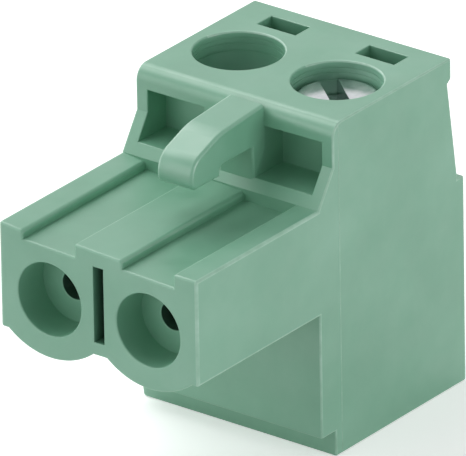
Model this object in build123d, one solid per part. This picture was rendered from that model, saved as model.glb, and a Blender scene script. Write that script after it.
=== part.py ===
from build123d import *
import os

# A two-pole pluggable terminal block: a plug that pushes onto a pin header, with a rising
# cage clamp in each pole. X runs to the right as seen from the mating face, Y from the
# mating face to the wire side and Z up from the base. All sizes are in millimetres.

# Poles
pitch = 5.08
poles = {"left": -pitch / 2, "right": pitch / 2}
width = len(poles) * pitch

# Lengths from the mating face back
nose_length = 8.25
face_setback = 1.02
foot_setback = 0.95
joint_setback = 1.38
cage_setback = 1.32
rear_wall = 0.89
lip_inset = 0.81
waist_inset = 1.05
ledge_inset = 0.46

# Clamp cage: a lower jaw, a window for wire and contact bar, and a threaded collar
cage_width = 4.0
cage_length = 4.0
cage_wall = 0.5
jaw_thickness = 1.0
collar_thickness = 1.5
cage_edge = 0.3
jaw_teeth = 3
tooth_pitch = 0.9
tooth_depth = 0.25
wire_gap = 3.25
closed_gap = 0.15
bar_headroom = 0.25

# Clamp screw, M3, with a slot in its head
thread_diameter = 3.0
head_diameter = 3.64
head_height = 1.9
head_edge = 0.25
tip_chamfer = 0.3
slot_width = 0.8
slot_depth = 0.8
slot_angle = -40.0
head_gap = 0.4
screw_raise = 1.0

# Contact: one stamped strip, with a fork for the header's pin at its front
bar_width = 2.6
strip_thickness = 0.8
bend_radius = 0.3
fork_height = 1.9
arm_thickness = 0.42
arm_root_gap = 1.7
arm_touch_gap = 0.84
arm_mouth_gap = 1.5
arm_touch_setback = 1.1
arm_lip_length = 1.1
bar_tail = 1.8

# Heights
floor_thickness = 0.8
socket_height = 8.62
nose_rise = 2.88
nose_drop = 1.87
lobe_drop = 2.66
lobe_radius = 3.4
tower_rise = 3.5
slant_rise = 1.55
foot_height = 1.15
foot_corner = 0.3
ledge_height = 9.37
lip_height = 0.93
lip_step = 0.17
waist_drop = 4.3

# Mating face
socket_diameter = 3.24
socket_depth = 1.6
pin_hole_diameter = 1.5
pin_wall = 0.7
groove_width = 2.66
groove_depth = 0.6
ridge_edge = 0.15
nose_edge = 0.2
slit_width = 0.56
slit_depth = 5.0
slit_rise = 2.12
slit_drop = 1.29

# Latch hook and finger pockets: reaches are from the tower's face, drops from its top
hook_width = 1.82
shoulder_reach = 2.92
shoulder_drop = 0.2
shoulder_radius = 3.0
tip_reach = 4.9
tip_drop = 0.93
tip_radius = 0.95
hook_gap = 1.37
barb_drop = 0.45
barb_length = 1.93
barb_chamfer = 0.22
barb_root_radius = 0.25
hook_edge = 0.15
rib_setback = 0.25
crown_radius = 0.64
pocket_web = 3.1
pocket_outer_wall = 0.6
pocket_lintel = 0.95
pocket_sill = 0.47
well_wall = 0.53

# Wire side
wire_width = 3.5
wire_rise = 3.2
funnel_width = 4.3
funnel_rise = 4.1
funnel_depth = 1.6
test_slot_width = 1.9
test_slot_length = 0.97
test_slot_wall = 0.66
mouth_flare = 0.06

# Fits
slide_clearance = 0.05
thread_clearance = 0.05
head_clearance = 0.1
contact_clearance = 0.05
fork_room = 0.35
spigot_clearance = 0.05
spigot_wall = 0.5
tip_gap = 0.05
ceiling_gap = 0.1

# Places along Y
face_y = nose_length + face_setback
foot_y = nose_length + foot_setback
rib_y = nose_length + rib_setback
joint_y = nose_length + joint_setback
cage_front = joint_y + cage_setback
screw_y = cage_front + cage_length / 2
chamber_back = cage_front + cage_length + slide_clearance
well_radius = head_diameter / 2 + head_clearance
pocket_back = screw_y - well_radius - well_wall
test_slot_front = screw_y + well_radius + test_slot_wall
test_slot_back = test_slot_front + test_slot_length
lip_y = test_slot_back + rear_wall
depth = lip_y + lip_inset
bar_end = chamber_back + bar_tail

# Places along Z
bar_bottom = floor_thickness + jaw_thickness + wire_gap
bar_top = bar_bottom + strip_thickness
cage_travel = wire_gap - closed_gap
cage_window = wire_gap + strip_thickness + bar_headroom
cage_height = jaw_thickness + cage_window + collar_thickness
ceiling = floor_thickness + cage_travel + cage_height + ceiling_gap
nose_top = socket_height + nose_rise
height = nose_top + tower_rise
closed_head = ceiling + head_gap
shank_length = closed_head - bar_top - tip_gap
fork_bottom = socket_height - fork_height / 2
fork_top = socket_height + fork_height / 2
wire_bottom = bar_bottom - wire_rise

# Cavity that holds the contact in the front housing
cavity_front = socket_depth + pin_wall
cavity_half = bar_width / 2 + contact_clearance
cavity_bottom = fork_bottom - fork_room
cavity_top = fork_top + fork_room
riser_front = joint_y - strip_thickness
fork_front = cavity_front + contact_clearance
spigot_end = cage_front - slide_clearance


def block(x_range, y_range, z_range):
    """A box between two values on each axis."""
    size = [high - low for low, high in (x_range, y_range, z_range)]
    corner = (x_range[0], y_range[0], z_range[0])
    return Pos(*corner) * Box(*size, align=(Align.MIN, Align.MIN, Align.MIN))


def about(centre, half):
    """The range that reaches half to each side of a centre."""
    return (centre - half, centre + half)


def bore(x, z, radius, y_range):
    """A round hole along Y."""
    length = y_range[1] - y_range[0]
    drill = Cylinder(radius, length, align=(Align.CENTER, Align.CENTER, Align.MIN))
    return Pos(x, y_range[0], z) * Rot(X=-90) * drill


def upright(x, y, radius, z_range):
    """A round hole or pin along Z."""
    length = z_range[1] - z_range[0]
    drill = Cylinder(radius, length, align=(Align.CENTER, Align.CENTER, Align.MIN))
    return Pos(x, y, z_range[0]) * drill


def side_plate(outline, x, half_width):
    """An outline drawn in Y and Z, thickened to both sides of x."""
    return extrude(Plane.YZ.offset(x) * outline, half_width, both=True)


def corners_at(sketch, x, y):
    """The corners of a flat outline at one place."""
    return [v for v in sketch.vertices() if abs(v.X - x) < 1e-6 and abs(v.Y - y) < 1e-6]


def tower():
    """The tall clamp section over its whole depth, before it is divided at the joint."""
    points = [
        (foot_y, 0),
        (foot_y, foot_height),
        (nose_length, foot_height),
        (nose_length, nose_top),
        (face_y, nose_top + slant_rise),
        (face_y, height),
        (lip_y, height),
        (lip_y, height - lip_height),
        (depth - waist_inset, height - lip_height - lip_step),
        (depth - ledge_inset, height - lip_height - lip_step - waist_drop),
        (depth - ledge_inset, ledge_height),
        (depth, ledge_height),
        (depth, 0),
    ]
    outline = make_face(Polyline(*points, close=True))
    outline = fillet(corners_at(outline, face_y, height), crown_radius)
    return side_plate(outline, 0, width / 2)


def nose():
    """The mating nose: grooves on top, a rounded lobe under each pole."""
    side_bottom = socket_height - nose_drop
    lobe_bottom = socket_height - lobe_drop
    across = nose_top - side_bottom
    profile = Pos(0, side_bottom + across / 2) * Rectangle(width, across)
    for x in poles.values():
        lobe = Pos(x, lobe_bottom + lobe_radius) * Circle(lobe_radius)
        lower_half = Pos(x, (lobe_bottom + socket_height) / 2) * Rectangle(pitch, lobe_drop)
        profile += lobe & lower_half
        profile -= Pos(x, nose_top) * Rectangle(groove_width, 2 * groove_depth)
    ridge_corners = [v for v in profile.vertices() if abs(v.Y - nose_top) < 1e-6]
    profile = fillet(ridge_corners, ridge_edge)
    plan = Pos(0, nose_length / 2) * Rectangle(width, nose_length)
    front_corners = corners_at(plan, width / 2, 0) + corners_at(plan, -width / 2, 0)
    plan = fillet(front_corners, nose_edge)
    return extrude(Plane.XZ * profile, -nose_length) & extrude(plan, height)


def hook():
    """The latch hook: as high as the tower, curved down to a barb, with a rib under its root."""
    root = (face_y, height)
    shoulder = (face_y - shoulder_reach, height - shoulder_drop)
    tip = (face_y - tip_reach, height - tip_drop)
    barb_bottom = nose_top + hook_gap
    barb_end = tip[0] + barb_length
    under = barb_bottom + barb_drop
    points = [
        root,
        shoulder,
        tip,
        (tip[0], barb_bottom + barb_chamfer),
        (tip[0] + barb_chamfer, barb_bottom),
        (barb_end, barb_bottom),
        (barb_end, under),
        (rib_y, under),
        (rib_y, nose_top),
        (joint_y, nose_top),
        (joint_y, height - crown_radius),
        (face_y, height - crown_radius),
    ]
    outline = make_face(Polyline(*points, close=True))
    outline = fillet(corners_at(outline, *shoulder), shoulder_radius)
    outline = fillet(corners_at(outline, *tip), tip_radius)
    outline = fillet(corners_at(outline, barb_end, under), barb_root_radius)
    x = (pocket_web - hook_width) / 2
    body = side_plate(outline, x, hook_width / 2)
    rims = [
        edge
        for edge in body.edges()
        if abs(abs(edge.center().X - x) - hook_width / 2) < 1e-3
        and edge.center().Y < rib_y + 1e-3
        and abs(edge.center().Z - barb_bottom) > 1e-3
    ]
    return fillet(rims, hook_edge)


def finger_pockets():
    """The recess on each side of the web, cut back to the wall of the screw well."""
    z_range = (nose_top + pocket_sill, height - pocket_lintel)
    inner = pocket_web / 2
    outer = width / 2 - pocket_outer_wall
    y_range = (nose_length, pocket_back)
    left = block((-outer, -inner), y_range, z_range)
    right = block((inner, outer), y_range, z_range)
    return left + right


def spigot(x):
    """The collar on the front half that enters the clamp chamber and traps the cage."""
    half = cage_width / 2 + slide_clearance - spigot_clearance
    bottom = bar_bottom - contact_clearance - spigot_wall
    return block(about(x, half), (joint_y, spigot_end), (bottom, ceiling - spigot_clearance))


def contact_cavity(x):
    """The hollow for the contact: straight behind the pin hole, deeper at the riser."""
    room = about(x, cavity_half)
    fork_room_y = (cavity_front, spigot_end)
    riser_y = (riser_front - contact_clearance, spigot_end)
    fork_hollow = block(room, fork_room_y, (cavity_bottom, cavity_top))
    return fork_hollow + block(room, riser_y, (bar_bottom - contact_clearance, cavity_top))


def front_housing():
    """The moulded front half: nose, hook, pockets and the front wall of the tower."""
    body = tower() & block(about(0, width), (0, joint_y), (-height, 2 * height))
    upright_edges = body.edges().filter_by(Axis.Z)
    foot_edges = [edge for edge in upright_edges if abs(edge.center().Y - foot_y) < 1e-3]
    body = fillet(min(foot_edges, key=lambda edge: edge.center().X), foot_corner)
    body += nose()
    body -= finger_pockets()
    body += hook()
    for x in poles.values():
        body += spigot(x)
        body -= bore(x, socket_height, socket_diameter / 2, (0, socket_depth))
        body -= bore(x, socket_height, pin_hole_diameter / 2, (0, cavity_front))
        body -= contact_cavity(x)
    slit_z = (socket_height - slit_drop, socket_height + slit_rise)
    return body - block(about(0, slit_width / 2), (0, slit_depth), slit_z)


def wire_funnel(x):
    """The wire entry: a wide mouth at the back that narrows to the clamp chamber."""
    middle = wire_bottom + wire_rise / 2
    back = Plane((x, depth, middle), x_dir=(1, 0, 0), z_dir=(0, -1, 0))
    mouth = back * Rectangle(funnel_width, funnel_rise)
    throat = back.offset(funnel_depth) * Rectangle(wire_width, wire_rise)
    tunnel = block(
        about(x, wire_width / 2), (chamber_back, depth), (wire_bottom, wire_bottom + wire_rise)
    )
    return loft([mouth, throat]) + tunnel


def clamp_chamber(x):
    """The room for cage, screw and contact bar, with the screw well and test slot above."""
    half = cage_width / 2 + slide_clearance
    room = block(about(x, half), (joint_y, chamber_back), (floor_thickness, ceiling))
    well = upright(x, screw_y, well_radius, (ceiling, height))
    flare = Cone(well_radius, well_radius + mouth_flare, mouth_flare)
    mouth = Pos(x, screw_y, height - mouth_flare / 2) * flare
    bar_slot = block(
        about(x, cavity_half),
        (chamber_back, bar_end + contact_clearance),
        (bar_bottom - contact_clearance, bar_top + contact_clearance),
    )
    test_slot = block(
        about(x, test_slot_width / 2), (test_slot_front, test_slot_back), (bar_top, height)
    )
    return room + well + mouth + bar_slot + test_slot


def rear_housing():
    """The moulded rear half: clamp chambers, screw wells, test slots and wire entries."""
    body = tower() & block(about(0, width), (joint_y, 2 * depth), (-height, 2 * height))
    body -= finger_pockets()
    for x in poles.values():
        body -= clamp_chamber(x)
        body -= wire_funnel(x)
    return body


def fork_arm(x, side):
    """One spring arm of the fork: it closes towards the pin, then flares at the mouth."""
    root = riser_front + strip_thickness / 2
    touch = fork_front + arm_touch_setback
    stations = [
        (root, arm_root_gap / 2),
        (touch + arm_lip_length, (arm_root_gap + arm_touch_gap) / 4),
        (touch, arm_touch_gap / 2),
        (fork_front, arm_mouth_gap / 2),
    ]
    inner = [(side * gap, y) for y, gap in stations]
    outer = [(side * (gap + arm_thickness), y) for y, gap in reversed(stations)]
    outline = make_face(Polyline(*inner, *outer, close=True))
    return Pos(x, 0, fork_bottom) * extrude(outline, fork_height)


def contact(x):
    """The stamped contact: fork, riser and the bar that runs through the clamp cage."""
    points = [
        (riser_front, bar_bottom),
        (bar_end, bar_bottom),
        (bar_end, bar_top),
        (joint_y, bar_top),
        (joint_y, fork_top),
        (riser_front, fork_top),
    ]
    outline = make_face(Polyline(*points, close=True))
    outline = fillet(corners_at(outline, joint_y, bar_top), bend_radius)
    outline = fillet(corners_at(outline, riser_front, bar_bottom), bend_radius + strip_thickness / 2)
    body = side_plate(outline, x, bar_width / 2)
    for side in (-1, 1):
        body += fork_arm(x, side)
    return body


def clamp_cage(x, lift):
    """The clamp cage, raised by lift from its open position on the chamber floor."""
    bottom = floor_thickness + lift
    window_z = (bottom + jaw_thickness, bottom + jaw_thickness + cage_window)
    y_range = about(screw_y, cage_length / 2)
    body = block(about(x, cage_width / 2), y_range, (bottom, bottom + cage_height))
    body = fillet(body.edges().filter_by(Axis.Y), cage_edge)
    window = block(about(x, cage_width / 2 - cage_wall), y_range, window_z)
    body -= fillet(window.edges().filter_by(Axis.Y), cage_edge)
    for step in range(jaw_teeth):
        y = screw_y + (step - (jaw_teeth - 1) / 2) * tooth_pitch
        notch = make_face(
            Polyline(
                (y - tooth_depth, window_z[0]),
                (y, window_z[0] - tooth_depth),
                (y + tooth_depth, window_z[0]),
                (y, window_z[0] + tooth_depth),
                close=True,
            )
        )
        body -= side_plate(notch, x, cage_width / 2 - cage_wall)
    thread_radius = thread_diameter / 2 + thread_clearance
    thread_z = (window_z[0] + cage_edge, bottom + cage_height)
    return body - upright(x, screw_y, thread_radius, thread_z)


def clamp_screw(x, lift):
    """The clamp screw, raised by lift from the contact bar."""
    bottom = bar_top + tip_gap + lift
    neck = bottom + shank_length
    top = neck + head_height
    shank = upright(0, 0, thread_diameter / 2, (bottom, neck))
    shank = chamfer(shank.faces().sort_by(Axis.Z)[0].edges(), tip_chamfer)
    head = upright(0, 0, head_diameter / 2, (neck, top))
    head = fillet(head.faces().sort_by(Axis.Z)[-1].edges(), head_edge)
    body = shank + head
    body -= block(about(0, head_diameter), about(0, slot_width / 2), (top - slot_depth, top))
    return Pos(x, screw_y, 0) * Rot(Z=slot_angle) * body


# The left clamp is closed and its screw is down; the right clamp is open and its screw is
# backed out, as the block is shown.
cage_lift = {"left": cage_travel, "right": 0}
screw_lift = {"left": 0, "right": screw_raise}

pieces = {"front_housing": front_housing(), "rear_housing": rear_housing()}
for side, x in poles.items():
    pieces[f"{side}_contact"] = contact(x)
    pieces[f"{side}_clamp_cage"] = clamp_cage(x, cage_lift[side])
    pieces[f"{side}_clamp_screw"] = clamp_screw(x, screw_lift[side])

# The block's own origin is under the middle of its outline, on the base.
os.makedirs("parts", exist_ok=True)
for name, piece in pieces.items():
    export_step(Pos(0, -depth / 2, 0) * piece, f"parts/{name}.step")
print(f"overall {width:.2f} x {depth:.2f} x {height:.2f} mm")
print(f"clamp axis at y {screw_y - depth / 2:.3f}, cage travel {cage_travel:.2f} mm")
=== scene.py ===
import math

import bmesh
import bpy
from mathutils import Matrix, Vector


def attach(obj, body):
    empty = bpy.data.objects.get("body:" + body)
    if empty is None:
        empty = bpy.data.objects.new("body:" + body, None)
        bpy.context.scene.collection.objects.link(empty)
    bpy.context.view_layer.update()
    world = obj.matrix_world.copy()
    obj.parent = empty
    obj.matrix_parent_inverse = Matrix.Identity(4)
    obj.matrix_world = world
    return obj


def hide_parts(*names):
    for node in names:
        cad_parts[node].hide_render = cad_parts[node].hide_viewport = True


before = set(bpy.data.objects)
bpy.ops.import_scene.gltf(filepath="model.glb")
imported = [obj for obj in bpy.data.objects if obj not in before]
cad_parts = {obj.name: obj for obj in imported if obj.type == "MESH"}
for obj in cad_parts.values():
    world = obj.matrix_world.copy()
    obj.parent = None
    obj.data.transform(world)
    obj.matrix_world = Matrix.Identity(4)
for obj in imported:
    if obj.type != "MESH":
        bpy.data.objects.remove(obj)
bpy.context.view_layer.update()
scene = bpy.context.scene

# Pieces are built in millimetres, with Y counted back from the mating face, as the block is
# measured. settle() moves each one to the frame's own place and size.
matingFace = -9.1
poles = {"left": -2.54, "right": 2.54}
halfWide = 5.08
jointAt = 9.63          # where the two moulded halves meet
near = 0.01             # how close counts as on a line or face
past = 0.5              # how far a cutter reaches past the face that it opens
wideFace = 1.5          # a face of more square millimetres than this is no eased edge


# finishes

def newMaterial(name):
    material = bpy.data.materials.new(name)
    material.use_nodes = True
    nodes, links = material.node_tree.nodes, material.node_tree.links
    return material, nodes, links, nodes["Principled BSDF"]


def noiseOf(nodes, links, source, scale, detail=3.0, roughness=0.5):
    noise = nodes.new("ShaderNodeTexNoise")
    noise.inputs["Scale"].default_value = scale
    noise.inputs["Detail"].default_value = detail
    noise.inputs["Roughness"].default_value = roughness
    links.new(source, noise.inputs["Vector"])
    return noise.outputs["Fac"]


def rampOf(nodes, links, source, stops):
    ramp = nodes.new("ShaderNodeValToRGB")
    ramp.color_ramp.elements[0].position = stops[0][0]
    ramp.color_ramp.elements[1].position = stops[-1][0]
    ramp.color_ramp.elements[0].color = stops[0][1]
    ramp.color_ramp.elements[1].color = stops[-1][1]
    for position, colour in stops[1:-1]:
        ramp.color_ramp.elements.new(position).color = colour
    links.new(source, ramp.inputs["Fac"])
    return ramp.outputs["Color"]


def rangeOf(nodes, links, source, low, high, fromLow=0.3, fromHigh=0.7):
    spread = nodes.new("ShaderNodeMapRange")
    spread.inputs["From Min"].default_value = fromLow
    spread.inputs["From Max"].default_value = fromHigh
    spread.inputs["To Min"].default_value = low
    spread.inputs["To Max"].default_value = high
    links.new(source, spread.inputs["Value"])
    return spread.outputs["Result"]


def bumpOf(nodes, links, height, strength, distance, under=None):
    bump = nodes.new("ShaderNodeBump")
    bump.inputs["Strength"].default_value = strength
    bump.inputs["Distance"].default_value = distance
    links.new(height, bump.inputs["Height"])
    if under is not None:
        links.new(under, bump.inputs["Normal"])
    return bump.outputs["Normal"]


plasticLook = dict(
    deep=(0.144, 0.370, 0.242, 1), body=(0.168, 0.405, 0.272, 1), pale=(0.198, 0.440, 0.307, 1),
    blotches=260, grain=14000, waviness=900, roughness=(0.34, 0.44), grainHeight=0.000002,
    waveHeight=0.000004)
# painted highlight: the eased edges that catch the light get these paler colours
edgeHighlightLook = dict(
    plasticLook, deep=(0.235, 0.465, 0.335, 1), body=(0.285, 0.520, 0.390, 1),
    pale=(0.360, 0.590, 0.470, 1), blotches=1500)
# painted shade: inside the slit, the pin holes and the cavities the colour darkens with depth behind
# the mating face
hollowShadeLook = dict(plasticLook, shadeDepth=(-0.0091, -0.0085), shadeLevel=0.26)


def mouldedPlastic(name, look):
    material, nodes, links, shader = newMaterial(name)
    place = nodes.new("ShaderNodeTexCoord").outputs["Object"]
    blotches = noiseOf(nodes, links, place, look["blotches"], 4, 0.55)
    stops = [(0.3, look["deep"]), (0.5, look["body"]), (0.72, look["pale"])]
    colour = rampOf(nodes, links, blotches, stops)
    # painted shade: the colour darkens with depth behind the mating face
    if "shadeDepth" in look:
        apart = nodes.new("ShaderNodeSeparateXYZ")
        links.new(place, apart.inputs[0])
        paintedShade = nodes.new("ShaderNodeVectorMath")
        paintedShade.operation = "SCALE"
        links.new(colour, paintedShade.inputs[0])
        share = rangeOf(nodes, links, apart.outputs["Y"], 1, look["shadeLevel"], *look["shadeDepth"])
        links.new(share, paintedShade.inputs["Scale"])
        colour = paintedShade.outputs[0]
    links.new(colour, shader.inputs["Base Color"])
    smears = noiseOf(nodes, links, place, look["waviness"], 2, 0.4)
    links.new(rangeOf(nodes, links, smears, *look["roughness"]), shader.inputs["Roughness"])
    grain = noiseOf(nodes, links, place, look["grain"], 2, 0.6)
    wave = bumpOf(nodes, links, smears, 0.5, look["waveHeight"])
    fine = bumpOf(nodes, links, grain, 0.5, look["grainHeight"], wave)
    links.new(fine, shader.inputs["Normal"])
    shader.inputs["IOR"].default_value = 1.5
    shader.inputs["Specular IOR Level"].default_value = 1.0
    return material


zincLook = dict(
    tints=[(0.3, (0.50, 0.52, 0.55, 1)), (0.5, (0.66, 0.68, 0.70, 1)), (0.72, (0.76, 0.77, 0.78, 1))],
    blotches=900, grain=24000, rings=9000, roughness=(0.12, 0.26), height=0.0000015)
nickelLook = dict(
    tints=[(0.3, (0.50, 0.48, 0.43, 1)), (0.5, (0.62, 0.60, 0.55, 1)), (0.72, (0.70, 0.68, 0.63, 1))],
    blotches=700, grain=18000, rings=0, roughness=(0.28, 0.48), height=0.000002)
tinLook = dict(
    tints=[(0.3, (0.56, 0.56, 0.54, 1)), (0.5, (0.68, 0.68, 0.66, 1)), (0.72, (0.76, 0.76, 0.75, 1))],
    blotches=600, grain=12000, rings=0, roughness=(0.32, 0.52), height=0.000003)


def platedMetal(name, look, axis=(0, 0)):
    # axis is the place in X and Y that the turning marks go round
    material, nodes, links, shader = newMaterial(name)
    spot = nodes.new("ShaderNodeMapping")
    spot.inputs["Location"].default_value = (-axis[0], -axis[1], 0)
    links.new(nodes.new("ShaderNodeTexCoord").outputs["Object"], spot.inputs["Vector"])
    place = spot.outputs["Vector"]
    blotches = noiseOf(nodes, links, place, look["blotches"], 4, 0.6)
    links.new(rampOf(nodes, links, blotches, look["tints"]), shader.inputs["Base Color"])
    links.new(rangeOf(nodes, links, blotches, *look["roughness"]), shader.inputs["Roughness"])
    grain = noiseOf(nodes, links, place, look["grain"], 3, 0.65)
    marks = None
    if look["rings"]:
        rings = nodes.new("ShaderNodeTexWave")
        rings.wave_type = "RINGS"
        rings.rings_direction = "Z"
        rings.inputs["Scale"].default_value = look["rings"]
        rings.inputs["Distortion"].default_value = 1.5
        rings.inputs["Detail"].default_value = 2
        links.new(place, rings.inputs["Vector"])
        marks = bumpOf(nodes, links, rings.outputs["Fac"], 0.25, look["height"])
    fine = bumpOf(nodes, links, grain, 0.6, look["height"], marks)
    links.new(fine, shader.inputs["Normal"])
    shader.inputs["Metallic"].default_value = 1
    return material


housingPlastic = mouldedPlastic("housing plastic", plasticLook)
housingEdgeHighlight = mouldedPlastic("housing edge highlight", edgeHighlightLook)
housingHollowShade = mouldedPlastic("housing hollow shade", hollowShadeLook)
tinPlate = platedMetal("tin plate", tinLook)
nickelPlate = platedMetal("nickel plate", nickelLook)
print("materials ready")


def deselect():
    bpy.ops.object.select_all(action="DESELECT")


def activate(piece):
    deselect()
    piece.select_set(True)
    bpy.context.view_layer.objects.active = piece


def snap(piece):
    # clean values, so that flush faces are truly flush for the booleans
    for corner in piece.data.vertices:
        corner.co = [round(value, 4) for value in corner.co]


def giveFinishes(piece):
    # slot 0 is the body, slot 1 the eased edges, paler as a painted highlight
    piece.data.materials.append(housingPlastic)
    piece.data.materials.append(housingEdgeHighlight)


def newBlock(name, x, y, z):
    deselect()
    middle = [(low + high) / 2 for low, high in (x, y, z)]
    bpy.ops.mesh.primitive_cube_add(size=1, location=middle)
    piece = bpy.context.object
    piece.name = name
    piece.scale = [high - low for low, high in (x, y, z)]
    bpy.ops.object.transform_apply(location=True, rotation=True, scale=True)
    snap(piece)
    giveFinishes(piece)
    return piece


def newRod(name, centre, radius, length, along="Z", sides=96):
    deselect()
    turn = {"X": (0, math.pi / 2, 0), "Y": (math.pi / 2, 0, 0), "Z": (0, 0, 0)}[along]
    bpy.ops.mesh.primitive_cylinder_add(
        vertices=sides, radius=radius, depth=length, location=centre, rotation=turn)
    piece = bpy.context.object
    piece.name = name
    bpy.ops.object.transform_apply(location=True, rotation=True, scale=True)
    giveFinishes(piece)
    return piece


def newOutline(name, corners, along, low, high):
    # one point is walked round the outline, filled, and pulled from low to high
    place = {"X": lambda a, b: Vector((low, a, b)), "Y": lambda a, b: Vector((a, low, b)),
             "Z": lambda a, b: Vector((a, b, low))}[along]
    path = [place(a, b) for a, b in corners]
    pull = [high - low if letter == along else 0 for letter in "XYZ"]
    deselect()
    bpy.ops.mesh.primitive_plane_add(size=1, location=(0, 0, 0))
    piece = bpy.context.object
    piece.name = name
    bpy.ops.object.mode_set(mode="EDIT")
    bpy.ops.mesh.select_mode(type="VERT")
    bpy.ops.mesh.select_all(action="SELECT")
    bpy.ops.mesh.merge(type="CENTER")
    bpy.ops.transform.translate(value=path[0])
    for here, there in zip(path, path[1:]):
        bpy.ops.mesh.extrude_vertices_move(TRANSFORM_OT_translate={"value": there - here})
    bpy.ops.mesh.select_all(action="SELECT")
    bpy.ops.mesh.edge_face_add()
    bpy.ops.mesh.extrude_region_move(TRANSFORM_OT_translate={"value": pull})
    bpy.ops.mesh.select_all(action="SELECT")
    bpy.ops.mesh.normals_make_consistent(inside=False)
    bpy.ops.object.mode_set(mode="OBJECT")
    snap(piece)
    giveFinishes(piece)
    return piece


def combine(piece, tool, how="DIFFERENCE"):
    activate(piece)
    bpy.ops.object.modifier_add(type="BOOLEAN")
    step = piece.modifiers[-1]
    step.operation = how
    step.solver = "EXACT"
    step.object = tool
    bpy.ops.object.modifier_apply(modifier=step.name)
    bpy.data.objects.remove(tool, do_unlink=True)


def copyOf(piece, name):
    twin = piece.copy()
    twin.data = piece.data.copy()
    twin.name = name
    scene.collection.objects.link(twin)
    return twin


def cutAt(piece, y, keep):
    # the flat cut where the two moulded halves part
    activate(piece)
    bpy.ops.object.mode_set(mode="EDIT")
    bpy.ops.mesh.select_all(action="SELECT")
    bpy.ops.mesh.bisect(plane_co=(0, y, 0), plane_no=(0, 1, 0), use_fill=True,
                        clear_inner=keep == "back", clear_outer=keep == "front")
    bpy.ops.object.mode_set(mode="OBJECT")


def tidyFaces(piece, angle=0.2):
    # flat neighbours become one face again after the booleans
    activate(piece)
    bpy.ops.object.mode_set(mode="EDIT")
    bpy.ops.mesh.select_mode(type="VERT")
    bpy.ops.mesh.select_all(action="SELECT")
    bpy.ops.mesh.remove_doubles(threshold=0.0005)
    bpy.ops.mesh.dissolve_limited(angle_limit=math.radians(angle))
    bpy.ops.object.mode_set(mode="OBJECT")


def onSides(middle):
    return abs(middle.x) > 4.9


jointSizes = dict(crown=0.02, side=0.03)


def jointEdge(middle):
    # the line where the halves meet, left out at the crown's corners
    if middle.z > 14.3:
        return 0 if onSides(middle) else jointSizes["crown"]
    return jointSizes["side"] if abs(middle.x) > 5.05 or middle.z < 0.1 else 0


def roundEdges(piece, radiusAt, segments=3, sharp=35, inner=False, highlightAt=onSides):
    # radiusAt gives each sharp edge its own rounding from the place of its middle; inner
    # takes the hollow corners too, and the last argument picks the roundings that get the paler finish,
    # a painted highlight
    activate(piece)
    bpy.ops.object.mode_set(mode="EDIT")
    bpy.ops.mesh.select_mode(type="EDGE")
    bpy.ops.mesh.select_all(action="DESELECT")
    shape = bmesh.from_edit_mesh(piece.data)
    weights = shape.edges.layers.float.get("bevel_weight_edge")
    if weights is None:
        weights = shape.edges.layers.float.new("bevel_weight_edge")
    wanted = {}
    for edge in shape.edges:
        edge[weights] = 0
        if len(edge.link_faces) != 2:
            continue
        bend = edge.calc_face_angle_signed()
        if (abs(bend) if inner else bend) < math.radians(sharp):
            continue
        middle = (edge.verts[0].co + edge.verts[1].co) / 2
        along = (edge.verts[1].co - edge.verts[0].co).normalized()
        radius = radiusAt(middle, along)
        if radius:
            wanted[edge] = radius
    widest = max(wanted.values())
    for edge, radius in wanted.items():
        edge[weights] = radius / widest
    bmesh.update_edit_mesh(piece.data)
    bpy.ops.object.mode_set(mode="OBJECT")
    bpy.ops.object.modifier_add(type="BEVEL")
    step = piece.modifiers[-1]
    step.limit_method = "WEIGHT"
    step.width = widest
    step.segments = segments
    step.use_clamp_overlap = False
    step.loop_slide = False
    piece.data.materials.append(housingEdgeHighlight)
    fresh = len(piece.data.materials) - 1
    step.material = fresh
    bpy.ops.object.modifier_apply(modifier=step.name)
    # the chosen roundings get slot 1, the painted highlight; the rest get the body's finish
    for face in piece.data.polygons:
        if face.material_index == fresh:
            face.material_index = 1 if highlightAt(face.center) else 0
    piece.data.materials.pop(index=fresh)
    print("  rounded", len(wanted), "edges of", piece.name)


def settle(piece, name, node, body, finishes, smooth=32):
    # to the frame's place and metres, smooth where it is round, in its final finish
    activate(piece)
    # wide faces lose the painted highlight
    for face in piece.data.polygons:
        if face.material_index == 1 and face.area > wideFace:
            face.material_index = 0
    piece.name = name
    bpy.ops.transform.translate(value=(0, matingFace, 0))
    bpy.ops.transform.resize(value=(0.001, 0.001, 0.001), center_override=(0, 0, 0))
    bpy.ops.object.transform_apply(location=True, rotation=True, scale=True)
    bpy.ops.object.shade_smooth_by_angle(angle=math.radians(smooth))
    bpy.ops.object.modifier_add(type="WEIGHTED_NORMAL")
    step = piece.modifiers[-1]
    step.keep_sharp = True
    step.weight = 90
    bpy.ops.object.modifier_apply(modifier=step.name)
    for place, finish in enumerate(finishes):
        piece.data.materials[place] = finish
    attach(piece, body)
    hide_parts(node)
    print("  settled", name, len(piece.data.polygons), "faces")
    return piece


# the clamp section, before it is divided at the joint

towerSizes = dict(
    outline=[(9.20, 0), (9.20, 1.15), (8.25, 1.15), (8.25, 11.50), (9.27, 13.05), (9.27, 15.00),
             (17.39, 15.00), (17.39, 14.07), (17.15, 13.90), (17.74, 9.60), (17.74, 9.37),
             (18.20, 9.37), (18.20, 0)],
    crown=0.64, footCorner=0.30, edge=0.08)


def buildTower(sizes):
    tower = newOutline("tower", sizes["outline"], "X", -halfWide, halfWide)

    def crownAndFoot(middle, along):
        if abs(middle.y - 9.27) < near and middle.z > 14.9:
            return sizes["crown"]
        if abs(middle.y - 9.20) < near and middle.x < -5 and abs(along.z) > 0.9:
            return sizes["footCorner"]
        return 0

    roundEdges(tower, crownAndFoot, segments=10, highlightAt=lambda middle: False)
    snap(tower)
    # the eased edges on the sides get the painted highlight
    roundEdges(tower, lambda middle, along: sizes["edge"], segments=3)
    return tower


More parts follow.
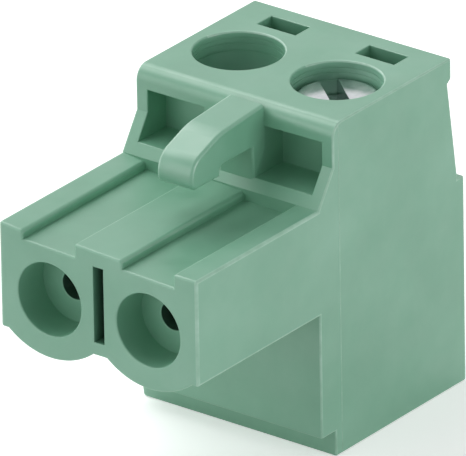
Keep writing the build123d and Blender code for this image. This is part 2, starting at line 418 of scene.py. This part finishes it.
pocketSizes = dict(x=(1.55, 4.48), y=(7.5, 10.50), z=(11.97, 14.05))


def cutPockets(half, sizes):
    for sign in (-1, 1):
        x = sorted(sign * value for value in sizes["x"])
        combine(half, newBlock("pocket", x, sizes["y"], sizes["z"]))


# front half: nose, hook and front wall

noseSizes = dict(
    end=8.60, side=6.75, top=11.50, grooveFloor=10.90, lowFloor=11.00, lowTop=11.39,
    grooves=[(-3.87, -1.21), (1.24, 3.87)], lobe=3.40, lobeAt=9.36, corner=0.12, shoulder=0.18,
    ridgeEdge=0.12, rim=0.10, under=0.10)


def noseOutline(sizes):
    # two lobes below; above, each groove has a lower, rounded wall on its low side
    corners = [(-halfWide, sizes["side"])]
    reach = math.asin((sizes["side"] - sizes["lobeAt"]) / sizes["lobe"])
    steps = 28
    for x in poles.values():
        for step in range(steps + 1):
            angle = math.pi - reach + step / steps * (math.pi + 2 * reach)
            across, rise = sizes["lobe"] * math.cos(angle), sizes["lobe"] * math.sin(angle)
            corners.append((x + across, sizes["lobeAt"] + rise))
    corners += [(halfWide, sizes["side"]), (halfWide, sizes["top"])]
    radius = sizes["shoulder"]
    for low, high in reversed(sizes["grooves"]):
        corners += [(high, sizes["top"]), (high, sizes["grooveFloor"]), (low, sizes["lowFloor"])]
        for step in range(9):
            angle = math.pi / 16 * step
            drop = radius * (1 - math.sin(angle))
            corners.append((low - radius * (1 - math.cos(angle)), sizes["lowTop"] - drop))
    corners.append((-halfWide, sizes["top"]))
    return corners


def buildNose(sizes):
    nose = newOutline("nose", noseOutline(sizes), "Y", 0, sizes["end"])

    def noseEdges(middle, along):
        if middle.y > sizes["end"] - near:
            return 0
        if abs(middle.x) > 5:
            return sizes["corner"]
        if abs(along.y) > 0.9:
            return sizes["under"] if middle.z < 10 else sizes["ridgeEdge"]
        return sizes["ridgeEdge"] if middle.z > 10.8 else sizes["rim"]

    # painted highlight on the sides and on the ridges' edges beside the grooves' high sides
    def highlightedEdges(middle):
        besideGroove = min(abs(middle.x - high) for low, high in sizes["grooves"]) < 0.1
        return onSides(middle) or besideGroove and middle.z > 11.42 and middle.y > 0.3

    roundEdges(nose, noseEdges, segments=6, highlightAt=highlightedEdges)
    return nose


hookSizes = dict(
    x=(-0.27, 1.545), root=9.27, top=15.00, shoulder=(6.35, 14.80), tip=(4.37, 14.07),
    barbLow=12.87, barbEnd=6.30, under=13.32, ribFront=8.50, ribLow=11.50, inside=9.63, seat=14.36,
    shoulderEase=0.40, tipEase=0.675, barbEase=0.35, barbRoot=0.25, edge=0.15)


def buildHook(sizes):
    # as high as the tower, with a rib under its root; behind the root a notch is left open
    tip, end, root, inside = sizes["tip"][0], sizes["barbEnd"], sizes["root"], sizes["inside"]
    low, under, front = sizes["barbLow"], sizes["under"], sizes["ribFront"]
    corners = [(root, sizes["top"]), sizes["shoulder"], sizes["tip"], (tip, low), (end, low),
               (end, under), (front, under), (front, sizes["ribLow"]), (inside, sizes["ribLow"]),
               (inside, sizes["seat"]), (root, sizes["seat"])]
    hook = newOutline("hook", corners, "X", *sizes["x"])
    eases = {sizes["shoulder"]: sizes["shoulderEase"], sizes["tip"]: sizes["tipEase"],
             (tip, low): sizes["barbEase"], (end, under): sizes["barbRoot"]}

    def acrossEdges(middle, along):
        for (y, z), ease in eases.items():
            if abs(along.x) > 0.9 and math.hypot(middle.y - y, middle.z - z) < near:
                return ease
        return 0

    def rimEdges(middle, along):
        outside = min(abs(middle.x - side) for side in sizes["x"]) < near
        return sizes["edge"] if outside and middle.y < front + near else 0

    roundEdges(hook, acrossEdges, segments=8, sharp=10, inner=True)
    # the hook's left rims get the painted highlight
    roundEdges(hook, rimEdges, segments=4, sharp=50, highlightAt=lambda middle: middle.x < 0)
    return hook


socketSizes = dict(
    z=8.62, socket=1.62, depth=1.68, pinHole=0.62, end=2.30, slit=(0.26, 5.0, 7.33, 10.74))
cavitySizes = dict(
    half=1.35, fork=((2.30, 10.90), (7.32, 9.92)), riser=((8.78, 10.90), (5.00, 9.92)),
    spigot=(2.00, (9.0, 10.90), (4.50, 10.75)))
frontRims = dict(socket=0.07, pinHole=0.04, slit=0.04, pocket=0.06)


def buildFrontHalf():
    front = copyOf(tower, "frontHalf")
    cutAt(front, jointAt, "front")
    combine(front, buildNose(noseSizes), "UNION")
    cutPockets(front, pocketSizes)
    combine(front, buildHook(hookSizes), "UNION")
    half, y, z = cavitySizes["spigot"]
    for x in poles.values():
        combine(front, newBlock("spigot", (x - half, x + half), y, z), "UNION")
    tidyFaces(front)
    for x in poles.values():
        depth, end = socketSizes["depth"], socketSizes["end"]
        socketAt, holeAt = (x, (depth - 1) / 2, socketSizes["z"]), (x, end / 2, socketSizes["z"])
        combine(front, newRod("socket", socketAt, socketSizes["socket"], depth + 1, "Y"))
        combine(front, newRod("pinHole", holeAt, socketSizes["pinHole"], end + 0.6, "Y", 64))
        for y, z in (cavitySizes["fork"], cavitySizes["riser"]):
            room = (x - cavitySizes["half"], x + cavitySizes["half"])
            combine(front, newBlock("cavity", room, (y[0], y[1] + past), z))
    half, deep, low, high = socketSizes["slit"]
    combine(front, newBlock("slit", (-half, half), (-past, deep), (low, high)))
    tidyFaces(front)

    def frontEdges(middle, along):
        # the rims that the cuts left: joint, sockets, pin holes, slit and pockets
        if abs(middle.y - jointAt) < near:
            return jointEdge(middle)
        for x in poles.values():
            reach = math.hypot(middle.x - x, middle.z - socketSizes["z"])
            if middle.y < near and abs(reach - socketSizes["socket"]) < 0.02:
                return frontRims["socket"]
            if abs(middle.y - socketSizes["depth"]) < near and reach < 1:
                return frontRims["pinHole"]
        if middle.y < near and abs(middle.x) < 0.3:
            return frontRims["slit"]
        (low, high), z = pocketSizes["x"], pocketSizes["z"]
        besideHook = abs(middle.x - low) < 0.02
        across = low - near < abs(middle.x) < high + near
        upright = z[0] - near < middle.z < z[1] + near
        onFront = 8 < middle.y < 9.3
        return frontRims["pocket"] if onFront and across and upright and not besideHook else 0

    # painted highlight on the sides and on the crown's edges left of the hook
    def frontHighlighted(middle):
        return onSides(middle) or middle.z > 14.3 and middle.x < -0.1 and middle.y > 9.5

    roundEdges(front, frontEdges, segments=3, highlightAt=frontHighlighted)
    # painted shade: the faces inside the slit, the pin holes and the cavities get the darkened finish
    front.data.materials.append(housingHollowShade)
    for face in front.data.polygons:
        x, y, z = face.center
        inSlit = abs(x) < half + near and 0.045 < y < deep + near and low - near < z < high + near
        inHole = abs(abs(x) - poles["right"]) < 1.36 and 1.73 < y < 9.6 and 7.3 < z < 9.95
        if inSlit or inHole:
            face.material_index = 2
    return settle(front, "front_half", "front_housing", "housing",
                  (housingPlastic, housingEdgeHighlight, housingHollowShade))


# rear half: clamp chambers, screw wells, test slots and wire entries

clampSizes = dict(
    chamber=(2.05, (9.63, 15.00), (0.80, 10.80)), well=1.92, screwAt=12.95,
    barSlot=(1.35, (14.9, 16.85), (5.00, 5.90)), testSlot=(0.99, (15.53, 16.52), (5.85, 15.5)),
    throat=(1.75, (14.9, 16.60), (1.85, 5.05)), funnel=(2.15, 18.20, (1.40, 5.50)),
    rings=(14.72, 14.50, 14.16), ringDeep=0.02, ringWide=0.07)
rearRims = dict(well=0.08, testSlot=0.05, mouth=0.10)


def newFunnel(x, sizes):
    half, y, z = sizes["throat"]
    wide, back, mouth = sizes["funnel"]
    funnel = newBlock("funnel", (x - half, x + half), (y[1], back), z)
    bpy.ops.object.mode_set(mode="EDIT")
    bpy.ops.mesh.select_mode(type="FACE")
    bpy.ops.mesh.select_all(action="DESELECT")
    shape = bmesh.from_edit_mesh(funnel.data)
    for face in shape.faces:
        face.select_set(face.normal.y > 0.9)
    bmesh.update_edit_mesh(funnel.data)
    stretch = (wide / half, 1, (mouth[1] - mouth[0]) / (z[1] - z[0]))
    centre = (x, back, (z[0] + z[1]) / 2)
    bpy.ops.transform.resize(value=stretch, center_override=centre)
    bpy.ops.mesh.extrude_region_move(TRANSFORM_OT_translate={"value": (0, past, 0)})
    bpy.ops.object.mode_set(mode="OBJECT")
    snap(funnel)
    return funnel


def buildRearHalf():
    rear = copyOf(tower, "rearHalf")
    cutAt(rear, jointAt, "back")
    cutPockets(rear, pocketSizes)
    for x in poles.values():
        half, y, z = clampSizes["chamber"]
        combine(rear, newBlock("chamber", (x - half, x + half), (y[0] - past, y[1]), z))
        at, well = clampSizes["screwAt"], clampSizes["well"]
        combine(rear, newRod("well", (x, at, 13), well, 5, sides=128))
        deep, wide = clampSizes["ringDeep"], clampSizes["ringWide"]
        for z in clampSizes["rings"]:
            combine(rear, newRod("ring", (x, at, z), well + deep, wide, sides=128))
        for key in ("barSlot", "testSlot", "throat"):
            half, y, z = clampSizes[key]
            combine(rear, newBlock(key, (x - half, x + half), y, z))
        combine(rear, newFunnel(x, clampSizes))
    tidyFaces(rear)

    def rearEdges(middle, along):
        # the rims that the cuts left: joint, wells, test slots and wire mouths
        if abs(middle.y - jointAt) < near:
            return jointEdge(middle)
        if middle.z > 14.99:
            return rearRims["well" if abs(middle.y - 16) > 0.55 else "testSlot"]
        return rearRims["mouth"] if middle.y > 18.19 else 0

    # painted highlight on the sides and on the top's rims between 13.3 and 15.3 mm back
    def rearHighlighted(middle):
        return onSides(middle) or middle.z > 14.9 and 13.3 < middle.y < 15.3

    roundEdges(rear, rearEdges, segments=3, highlightAt=rearHighlighted)
    return settle(rear, "rear_half", "rear_housing", "housing",
                  (housingPlastic, housingEdgeHighlight))


tower = buildTower(towerSizes)
print("clamp section ready")
frontHalf = buildFrontHalf()
print("front half ready")
rearHalf = buildRearHalf()
bpy.data.objects.remove(tower, do_unlink=True)
print("rear half ready")


# clamp screws: slotted head, cut thread

screwSizes = dict(
    at=12.95, low=5.90, neck=11.20, top=13.10, head=1.82, headEdge=0.25, neckEdge=0.08, tipEdge=0.15,
    recessEdge=0.03, core=1.24, thread=1.46, pitch=0.5, threadFrom=0.32, threadTo=0.12, slot=0.40,
    slotDeep=0.80, turn=-40, raised={"left": 0, "right": 1.2})


def newThread(sizes):
    # a ridge is drawn in section and wound up the shank
    low = sizes["low"] + sizes["threadFrom"]
    inner, outer, pitch = sizes["core"] - 0.05, sizes["thread"], sizes["pitch"]
    turns = (sizes["neck"] - sizes["threadTo"] - low) / pitch - 1
    path = [(inner, 0), (outer, 0.2), (outer, 0.26), (inner, 0.46), (inner, 0)]
    deselect()
    bpy.ops.mesh.primitive_plane_add(size=1, location=(0, 0, 0))
    ridge = bpy.context.object
    bpy.ops.object.mode_set(mode="EDIT")
    bpy.ops.mesh.select_mode(type="VERT")
    bpy.ops.mesh.select_all(action="SELECT")
    bpy.ops.mesh.merge(type="CENTER")
    bpy.ops.transform.translate(value=(path[0][0], 0, low + path[0][1]))
    for here, there in zip(path, path[1:]):
        step = (there[0] - here[0], 0, there[1] - here[1])
        bpy.ops.mesh.extrude_vertices_move(TRANSFORM_OT_translate={"value": step})
    bpy.ops.mesh.select_all(action="SELECT")
    bpy.ops.mesh.remove_doubles(threshold=0.0005)
    bpy.ops.object.mode_set(mode="OBJECT")
    bpy.ops.object.modifier_add(type="SCREW")
    wind = ridge.modifiers[-1]
    wind.axis = "Z"
    wind.angle = 2 * math.pi * turns
    wind.screw_offset = pitch * turns
    wind.steps = wind.render_steps = int(36 * turns)
    bpy.ops.object.modifier_apply(modifier=wind.name)
    bpy.ops.object.mode_set(mode="EDIT")
    bpy.ops.mesh.select_mode(type="VERT")
    bpy.ops.mesh.select_all(action="SELECT")
    bpy.ops.mesh.remove_doubles(threshold=0.0005)
    bpy.ops.mesh.fill_holes(sides=6)
    bpy.ops.mesh.normals_make_consistent(inside=False)
    bpy.ops.object.mode_set(mode="OBJECT")
    return ridge


def buildScrew(sizes):
    low, neck, top = sizes["low"], sizes["neck"], sizes["top"]
    half, floor = sizes["slot"], top - sizes["slotDeep"]

    def headEdges(middle, along):
        return sizes["headEdge"] if middle.z > neck + 0.1 else sizes["neckEdge"]

    def recessEdges(middle, along):
        return sizes["recessEdge"] if middle.z > top - 0.001 and abs(along.z) < 0.1 else 0

    def tipEdges(middle, along):
        return sizes["tipEdge"] if middle.z < low + 0.1 else 0

    screw = newRod("screw", (0, 0, (neck + top) / 2), sizes["head"], top - neck, sides=96)
    roundEdges(screw, headEdges, segments=5)
    combine(screw, newBlock("slot", (-2.5, 2.5), (-half, half), (floor, top + past)))
    tidyFaces(screw)
    roundEdges(screw, recessEdges, segments=2)
    shank = newRod("shank", (0, 0, (low + neck + 0.2) / 2), sizes["core"], neck + 0.2 - low, sides=72)
    roundEdges(shank, tipEdges, segments=3)
    combine(screw, shank, "UNION")
    ridge = newThread(sizes)
    activate(screw)
    ridge.select_set(True)
    bpy.ops.object.join()
    turn = -math.radians(sizes["turn"])
    bpy.ops.transform.rotate(value=turn, orient_axis="Z", center_override=(0, 0, 0))
    bpy.ops.transform.translate(value=(0, sizes["at"], 0))
    bpy.ops.object.transform_apply(location=True, rotation=True, scale=True)
    return screw


def movedCopy(piece, name, move):
    twin = copyOf(piece, name)
    activate(twin)
    bpy.ops.transform.translate(value=move)
    bpy.ops.object.transform_apply(location=True, rotation=True, scale=True)
    return twin


screw = buildScrew(screwSizes)
for side, x in poles.items():
    piece = movedCopy(screw, "screw", (x, 0, screwSizes["raised"][side]))
    axis = (x / 1000, (screwSizes["at"] + matingFace) / 1000)
    zincPlate = platedMetal(side + " zinc plate", zincLook, axis)
    settle(piece, side + "_screw_piece", side + "_clamp_screw", side + "_screw",
           (zincPlate, zincPlate))
bpy.data.objects.remove(screw, do_unlink=True)
print("screws ready")


# contacts: a bent strip with a two-armed fork for the header's pin

contactSizes = dict(
    half=1.30, front=8.83, joint=9.63, low=5.05, high=5.85, end=16.80, forkTop=9.57, forkLow=7.67,
    innerBend=0.30, outerBend=0.70, edge=0.06, armThick=0.42, armEdge=0.05, armBend=0.35,
    arm=[(9.23, 0.85), (4.55, 0.635), (3.45, 0.42), (2.35, 0.75)])


def buildContact(sizes):
    front, joint, low, high = (sizes[key] for key in ("front", "joint", "low", "high"))
    corners = [(front, low), (sizes["end"], low), (sizes["end"], high), (joint, high),
               (joint, sizes["forkTop"]), (front, sizes["forkTop"])]
    strip = newOutline("strip", corners, "X", -sizes["half"], sizes["half"])

    def bends(middle, along):
        if abs(along.x) < 0.9:
            return 0
        if abs(middle.y - front) < near and middle.z < low + 0.1:
            return sizes["outerBend"]
        return sizes["innerBend"] if abs(middle.y - joint) < near and middle.z < high + 0.1 else 0

    roundEdges(strip, bends, segments=8, inner=True)
    roundEdges(strip, lambda middle, along: sizes["edge"], segments=2)
    for sign in (-1, 1):
        inside = [(sign * gap, y) for y, gap in sizes["arm"]]
        outside = [(sign * (gap + sizes["armThick"]), y) for y, gap in reversed(sizes["arm"])]
        arm = newOutline("arm", inside + outside, "Z", sizes["forkLow"], sizes["forkTop"])

        def armBends(middle, along):
            return sizes["armBend"] if abs(along.z) > 0.9 and 3 < middle.y < 5 else 0

        roundEdges(arm, armBends, segments=5, sharp=4, inner=True)
        roundEdges(arm, lambda middle, along: sizes["armEdge"] if middle.y < 9 else 0, segments=2)
        combine(strip, arm, "UNION")
    tidyFaces(strip)
    return strip


contact = buildContact(contactSizes)
for side, x in poles.items():
    piece = movedCopy(contact, "contact", (x, 0, 0))
    settle(piece, side + "_contact_strip", side + "_contact", "housing",
           (tinPlate, tinPlate))
bpy.data.objects.remove(contact, do_unlink=True)
print("contacts ready")


# clamp cages: notched jaw below, window for wire and bar, collar for the screw on top

cageSizes = dict(
    half=2.00, at=12.95, low=0.82, high=7.60, wall=0.50, jaw=1.00, collar=1.50, corner=0.30,
    edge=0.07, bore=1.55, boreEdge=0.10, notches=(-0.9, 0, 0.9), notch=0.177,
    lift={"left": 3.10, "right": 0})


def buildCage(sizes):
    half, at, low, high = (sizes[key] for key in ("half", "at", "low", "high"))
    window = (low + sizes["jaw"], high - sizes["collar"])
    inside = half - sizes["wall"]
    deep = sizes["notch"]

    def corners(middle, along):
        return sizes["corner"] if abs(along.y) > 0.9 else 0

    def rims(middle, along):
        return sizes["edge"] if abs(abs(middle.y - at) - half) < near else 0

    def boreEdges(middle, along):
        reach = math.hypot(middle.x, middle.y - at)
        onBore = abs(middle.z - high) < near and reach < sizes["bore"] + near
        return sizes["boreEdge"] if onBore else 0

    cage = newBlock("cage", (-half, half), (at - half, at + half), (low, high))
    roundEdges(cage, corners, segments=6)
    hole = newBlock("window", (-inside, inside), (at - half - past, at + half + past), window)
    roundEdges(hole, corners, segments=6)
    combine(cage, hole)
    tidyFaces(cage)
    roundEdges(cage, rims, segments=3)
    for place in sizes["notches"]:
        notch = newBlock("notch", (-inside + 0.2, inside - 0.2), (-deep, deep), (-deep, deep))
        activate(notch)
        bpy.ops.transform.rotate(value=math.radians(45), orient_axis="X", center_override=(0, 0, 0))
        bpy.ops.transform.translate(value=(0, at + place, window[0]))
        bpy.ops.object.transform_apply(location=True, rotation=True, scale=True)
        combine(cage, notch)
    combine(cage, newRod("bore", (0, at, high), sizes["bore"], 2 * sizes["collar"] + 0.4, sides=96))
    tidyFaces(cage)
    roundEdges(cage, boreEdges, segments=2)
    return cage


cage = buildCage(cageSizes)
for side, x in poles.items():
    piece = movedCopy(cage, "cage", (x, 0, cageSizes["lift"][side]))
    settle(piece, side + "_cage_piece", side + "_clamp_cage", side + "_cage",
           (nickelPlate, nickelPlate))
bpy.data.objects.remove(cage, do_unlink=True)
print("cages ready")


# floor, light and camera

stageSizes = dict(floor=4.0, low=-0.00002, albedo=0.92, lift=0.46)


def seenOf(nodes, links):
    # 1 on what the camera sees, also in a reflection or through something clear
    path = nodes.new("ShaderNodeLightPath")
    seen = path.outputs["Is Camera Ray"]
    for kind in ("Is Glossy Ray", "Is Transmission Ray"):
        either = nodes.new("ShaderNodeMath")
        either.operation = "MAXIMUM"
        links.new(seen, either.inputs[0])
        links.new(path.outputs[kind], either.inputs[1])
        seen = either.outputs[0]
    return seen


def buildStage(sizes):
    deselect()
    bpy.ops.mesh.primitive_plane_add(size=sizes["floor"], location=(0, 0, sizes["low"]))
    floor = bpy.context.object
    floor.name = "studio_floor"
    material, nodes, links, shader = newMaterial("studio floor")
    shader.inputs["Base Color"].default_value = (sizes["albedo"],) * 3 + (1,)
    shader.inputs["Roughness"].default_value = 0.9
    shader.inputs["Specular IOR Level"].default_value = 0
    lift = nodes.new("ShaderNodeMath")
    lift.operation = "MULTIPLY"
    lift.inputs[1].default_value = sizes["lift"]
    links.new(seenOf(nodes, links), lift.inputs[0])
    glow = nodes.new("ShaderNodeEmission")
    links.new(lift.outputs[0], glow.inputs["Strength"])
    both = nodes.new("ShaderNodeAddShader")
    links.new(shader.outputs[0], both.inputs[0])
    links.new(glow.outputs[0], both.inputs[1])
    links.new(both.outputs[0], nodes["Material Output"].inputs["Surface"])
    floor.data.materials.append(material)
    return floor


lampSettings = {
    "key": dict(place=(-0.23, 0.03, 0.27), size=0.34, power=0.98),
    "front": dict(place=(-0.16, -0.37, 0.09), size=0.30, power=0.43),
    "side": dict(place=(0.42, 0.06, 0.03), size=0.16, power=0.84),
}
# the world's strength as light, and as it is seen
worldLevels = dict(light=0.30, seen=1.0)


def buildLamps(settings):
    for name, lamp in settings.items():
        deselect()
        bpy.ops.object.light_add(type="AREA", location=lamp["place"])
        light = bpy.context.object
        light.name = name
        light.data.shape = "SQUARE"
        light.data.size = lamp["size"]
        light.data.energy = lamp["power"]
        aim = Vector((0, 0, 0.007)) - Vector(lamp["place"])
        light.rotation_euler = aim.to_track_quat("-Z", "Y").to_euler()
    world = bpy.data.worlds.new("studio")
    scene.world = world
    world.use_nodes = True
    nodes, links = world.node_tree.nodes, world.node_tree.links
    sky = nodes["Background"]
    sky.inputs["Color"].default_value = (1, 1, 1, 1)
    level = rangeOf(nodes, links, seenOf(nodes, links), worldLevels["light"], worldLevels["seen"], 0, 1)
    links.new(level, sky.inputs["Strength"])


cameraSettings = dict(azimuth=37.6281, elevation=25.0915, roll=-0.9894, distance=0.6507,
                      lens=1220.5, aim=(0, -0.0001, 0.0075), aside=0.0000196, above=0.0014552)


def buildCamera(view):
    azimuth, elevation, roll = (math.radians(view[key]) for key in ("azimuth", "elevation", "roll"))
    right = Vector((math.cos(azimuth), math.sin(azimuth), 0))
    back = Vector((math.sin(azimuth) * math.cos(elevation), -math.cos(azimuth) * math.cos(elevation),
                   math.sin(elevation)))
    up = back.cross(right)
    turnedRight = math.cos(roll) * right + math.sin(roll) * up
    turnedUp = math.cos(roll) * up - math.sin(roll) * right
    target = Vector(view["aim"]) + view["aside"] * turnedRight + view["above"] * turnedUp
    deselect()
    bpy.ops.object.camera_add(location=target + back * view["distance"])
    camera = bpy.context.object
    axes = [turnedRight, turnedUp, back]
    camera.rotation_euler = Matrix(axes).transposed().to_euler()
    camera.data.sensor_fit = "HORIZONTAL"
    camera.data.sensor_width = 36
    camera.data.lens = view["lens"]
    camera.data.clip_start = 0.01
    camera.data.clip_end = 20
    scene.camera = camera


buildStage(stageSizes)
buildLamps(lampSettings)
buildCamera(cameraSettings)
scene.view_settings.view_transform = "Standard"
print("stage, light and camera ready")
